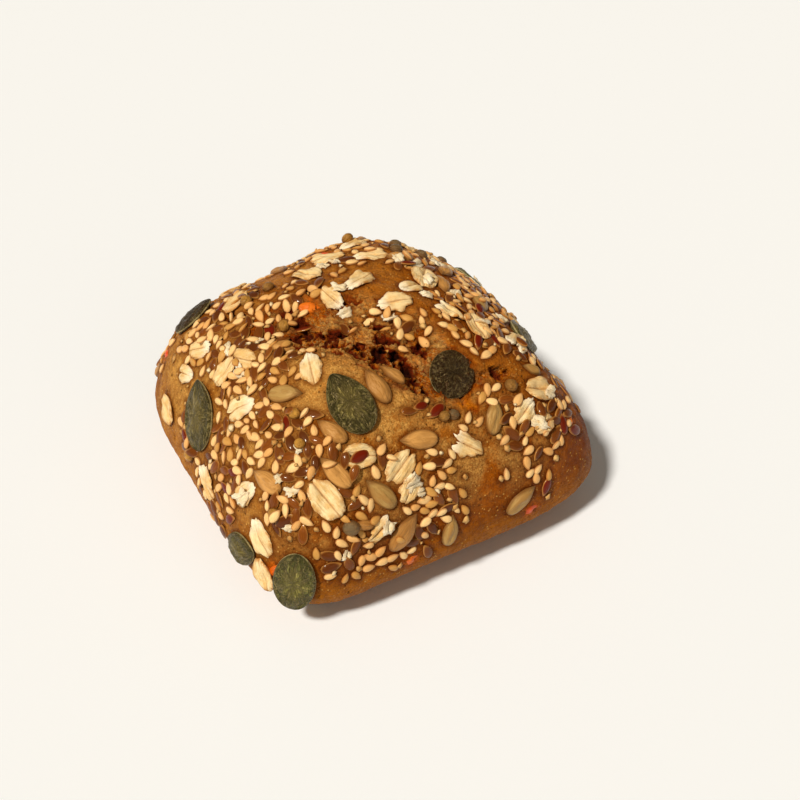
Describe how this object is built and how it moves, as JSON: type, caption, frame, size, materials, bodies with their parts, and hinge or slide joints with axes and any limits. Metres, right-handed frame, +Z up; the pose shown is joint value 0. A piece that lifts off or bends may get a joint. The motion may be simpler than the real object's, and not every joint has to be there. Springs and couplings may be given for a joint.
{
  "type": "seeded spelt roll",
  "caption": "Small square spelt loaf with a domed crown torn open in baking, and seeds and oat flakes baked into its crust.",
  "frame": {"origin": "middle of the flat underside, where the loaf rests", "axes": "+Z up from the underside to the crown; X and Y run square to the four flanks; the tear across the crown runs from the -X +Y side to the +X -Y side, nearest the -X -Y corner"},
  "size_m": [0.0942, 0.096, 0.0514],
  "materials": {
    "crust": "baked golden-brown crust, lightly floured, dull with a faint gloss on the bare skin"
  },
  "bodies": {
    "root": {"loaf": "crust"}
  },
  "joints": []
}
